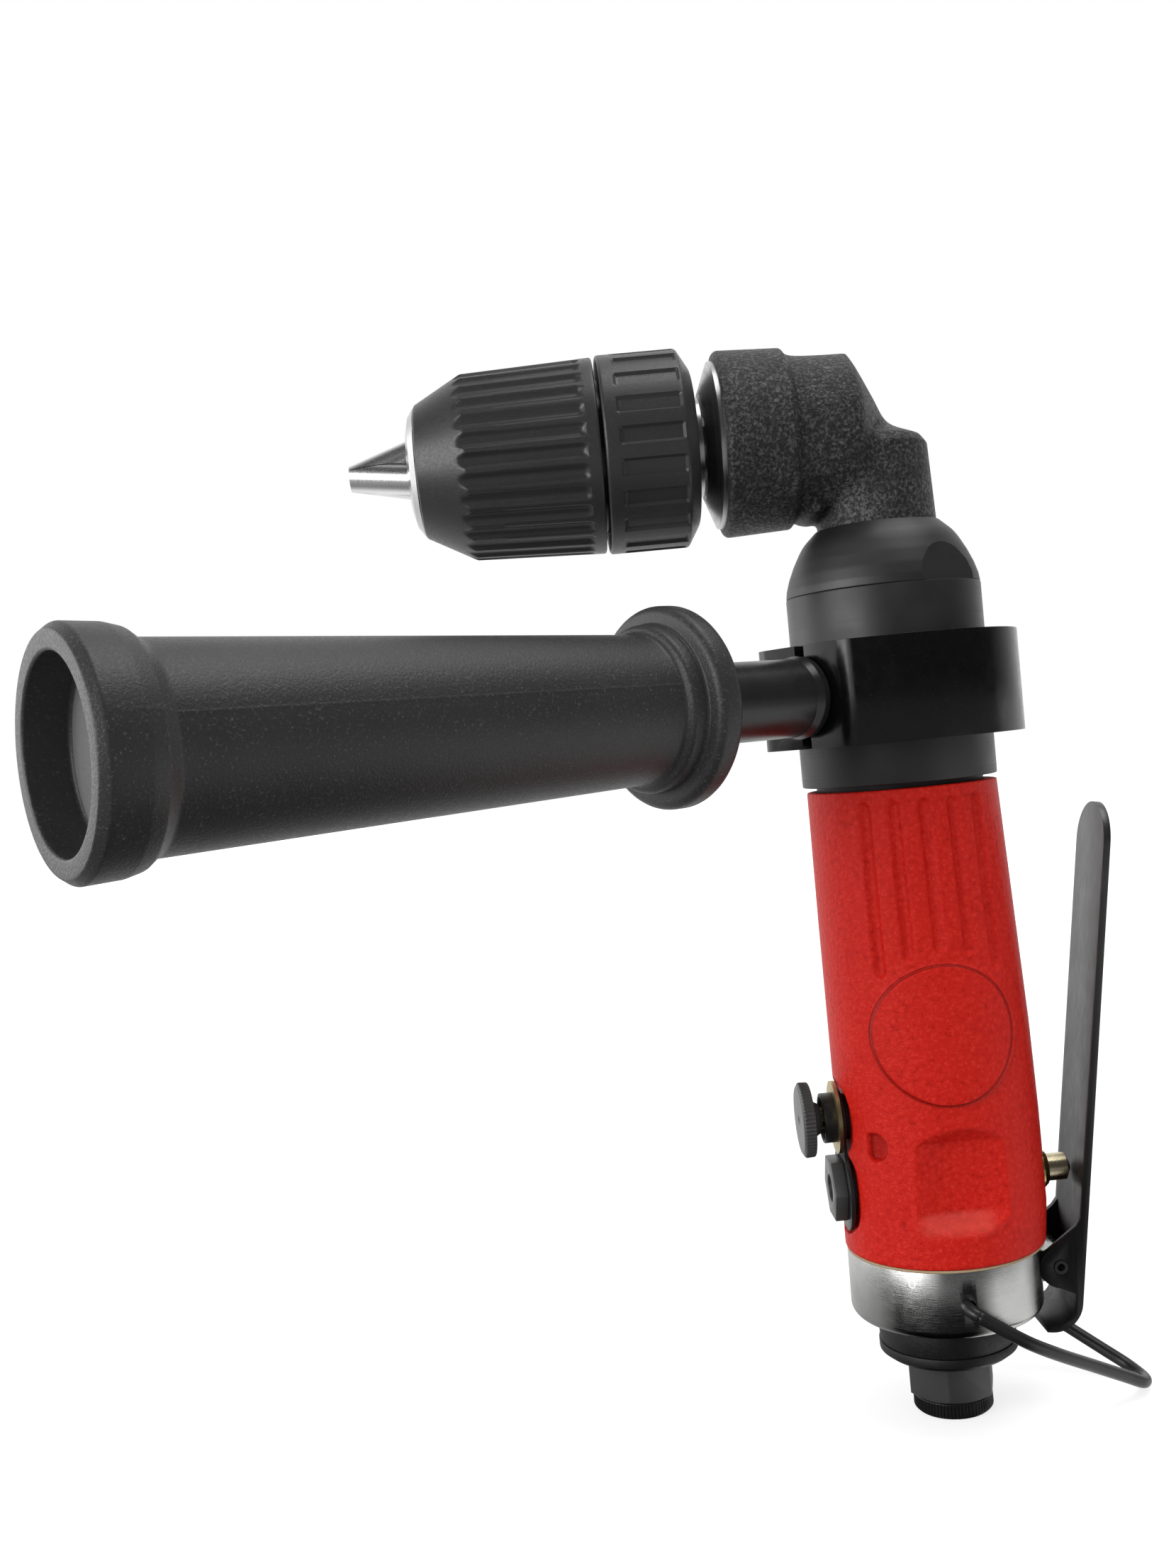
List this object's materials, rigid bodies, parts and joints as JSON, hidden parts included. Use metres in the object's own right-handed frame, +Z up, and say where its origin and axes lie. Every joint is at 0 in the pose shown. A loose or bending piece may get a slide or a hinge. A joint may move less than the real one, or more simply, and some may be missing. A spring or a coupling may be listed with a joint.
{
  "type": "right angle air drill",
  "caption": "Reversible right-angle air drill with keyless chuck, swivelling side handle, throttle lever, push reverse knob and hanging bail.",
  "frame": {"origin": "centre of the air inlet mouth at the foot of the tool", "axes": "+Z up the motor axis towards the angle head, -X along the spindle towards the chuck jaws, +X side carries the throttle lever"},
  "size_m": [0.2067, 0.1513, 0.2396],
  "materials": {
    "red_paint": "textured red paint on cast aluminium",
    "bare_cap": "polished bare casting",
    "black_head": "textured black paint on cast aluminium",
    "black_clamp": "glossy black paint",
    "black_steel": "satin black oxide steel",
    "black_plastic": "matte moulded plastic",
    "bright_steel": "ground bright steel",
    "dark_steel": "hardened dark steel",
    "brass": "satin brass",
    "gasket_paper": "oiled gasket paper",
    "vane_resin": "resin bonded fabric"
  },
  "bodies": {
    "tool": {"motor_housing": "red_paint", "end_gasket": "gasket_paper", "rear_cap": "bare_cap", "exhaust_ring": "black_plastic", "inlet_bushing": "black_steel", "inlet_screen": "brass", "gear_housing": "black_steel", "coupling_nut": "black_steel", "angle_head": "black_head", "rear_end_plate": "dark_steel", "motor_cylinder": "dark_steel", "front_end_plate": "dark_steel", "rear_rotor_bearing": "bright_steel", "front_rotor_bearing": "bright_steel", "ring_gear": "dark_steel", "carrier_bearing": "bright_steel", "pinion_bearing": "bright_steel", "spindle_bearing": "bright_steel", "tail_bushing": "brass", "bearing_cap": "bright_steel", "lever_pin": "black_steel", "throttle_bushing": "brass", "valve_spring": "dark_steel", "throttle_plug": "black_steel", "retainer_plate": "black_steel", "reverse_washer": "brass", "reverse_bushing": "black_steel"},
    "exhaust": {"exhaust_deflector": "black_plastic"},
    "inlet_cover": {"dust_cap": "black_plastic"},
    "motor_rotor": {"rotor": "dark_steel", "rotor_vanes": "vane_resin"},
    "carrier": {"planet_carrier": "dark_steel", "planet_pins": "bright_steel", "bevel_pinion": "dark_steel"},
    "planet_1": {"planet_gear_1": "dark_steel"},
    "planet_2": {"planet_gear_2": "dark_steel"},
    "planet_3": {"planet_gear_3": "dark_steel"},
    "drive_spindle": {"bevel_gear": "dark_steel", "spindle": "bright_steel", "chuck_body": "bright_steel", "chuck_screw": "black_steel", "rear_sleeve": "black_plastic"},
    "chuck_sleeve": {"front_sleeve": "black_plastic", "chuck_nut": "dark_steel"},
    "chuck_jaw_1": {"jaw_1": "bright_steel"},
    "chuck_jaw_2": {"jaw_2": "bright_steel"},
    "chuck_jaw_3": {"jaw_3": "bright_steel"},
    "clamp": {"handle_clamp": "black_clamp"},
    "handle": {"handle_rod": "black_steel", "side_handle": "black_plastic"},
    "lever": {"throttle_lever": "black_steel"},
    "throttle_valve": {"throttle_stem": "brass"},
    "reverse_valve": {"reverse_knob": "black_steel", "reverse_spool": "brass"},
    "bail": {"hanging_bail": "black_steel"}
  },
  "joints": [
    {"name": "spindle_spin", "type": "hinge", "parent": "tool", "child": "drive_spindle", "pos_m": [0, 0, 0.217], "axis": [-1, 0, 0], "continuous": true},
    {"name": "carrier_spin", "type": "hinge", "parent": "tool", "child": "carrier", "pos_m": [0, 0, 0.16], "axis": [0, 0, 1], "continuous": true},
    {"name": "rotor_spin", "type": "hinge", "parent": "tool", "child": "motor_rotor", "pos_m": [0, 0, 0.1], "axis": [0, 0, 1], "continuous": true},
    {"name": "planet_1_spin", "type": "hinge", "parent": "carrier", "child": "planet_1", "pos_m": [0.00898, 0, 0.14], "axis": [0, 0, 1], "continuous": true},
    {"name": "planet_2_spin", "type": "hinge", "parent": "carrier", "child": "planet_2", "pos_m": [-0.00449, 0.00778, 0.14], "axis": [0, 0, 1], "continuous": true},
    {"name": "planet_3_spin", "type": "hinge", "parent": "carrier", "child": "planet_3", "pos_m": [-0.00449, -0.00778, 0.14], "axis": [0, 0, 1], "continuous": true},
    {"name": "sleeve_turn", "type": "hinge", "parent": "drive_spindle", "child": "chuck_sleeve", "pos_m": [0, 0, 0.217], "axis": [-1, 0, 0], "range_deg": [0, 3600]},
    {"name": "jaw_1_slide", "type": "slide", "parent": "drive_spindle", "child": "chuck_jaw_1", "axis": [0.9455, 0, 0.3256], "range_m": [0, 0.02]},
    {"name": "jaw_2_slide", "type": "slide", "parent": "drive_spindle", "child": "chuck_jaw_2", "axis": [0.9455, 0.282, -0.1628], "range_m": [0, 0.02]},
    {"name": "jaw_3_slide", "type": "slide", "parent": "drive_spindle", "child": "chuck_jaw_3", "axis": [0.9455, -0.282, -0.1628], "range_m": [0, 0.02]},
    {"name": "throttle_press", "type": "hinge", "parent": "tool", "child": "lever", "pos_m": [0.0241, 0, 0.0306], "axis": [0, -1, 0], "range_deg": [0, 9], "stiffness_Nm_per_rad": 0.6, "springref_deg": -17.19},
    {"name": "valve_push", "type": "slide", "parent": "tool", "child": "throttle_valve", "axis": [-1, 0, 0], "range_m": [0, 0.0032], "deforming": ["valve_spring"]},
    {"name": "reverse_push", "type": "slide", "parent": "tool", "child": "reverse_valve", "axis": [1, 0, 0], "range_m": [0, 0.002]},
    {"name": "deflector_turn", "type": "hinge", "parent": "tool", "child": "exhaust", "pos_m": [0, 0, 0.01345], "axis": [0, 0, 1], "continuous": true},
    {"name": "bail_swing", "type": "hinge", "parent": "tool", "child": "bail", "pos_m": [0, 0, 0.0287], "axis": [0, 1, 0], "range_deg": [-40, 140]},
    {"name": "handle_swivel", "type": "hinge", "parent": "tool", "child": "clamp", "pos_m": [0, 0, 0.1596], "axis": [0, 0, 1], "range_deg": [-180, 180]},
    {"name": "handle_turn", "type": "hinge", "parent": "clamp", "child": "handle", "pos_m": [0, 0, 0.1596], "axis": [-0.8141, -0.5807, 0], "range_deg": [0, 720]},
    {"name": "cover_pull", "type": "slide", "parent": "tool", "child": "inlet_cover", "axis": [0, 0, -1], "range_m": [0, 0.08]}
  ],
  "couplings": [
    {"joint": "carrier_spin", "follows": "spindle_spin", "ratio": 1.5},
    {"joint": "rotor_spin", "follows": "spindle_spin", "ratio": 7.5},
    {"joint": "planet_1_spin", "follows": "spindle_spin", "ratio": -4},
    {"joint": "planet_2_spin", "follows": "spindle_spin", "ratio": -4},
    {"joint": "planet_3_spin", "follows": "spindle_spin", "ratio": -4},
    {"joint": "jaw_2_slide", "follows": "jaw_1_slide", "ratio": 1},
    {"joint": "jaw_3_slide", "follows": "jaw_1_slide", "ratio": 1},
    {"joint": "sleeve_turn", "follows": "jaw_1_slide", "rad_per_m": 3141.6},
    {"joint": "valve_push", "follows": "throttle_press", "m_per_rad": 0.02}
  ]
}
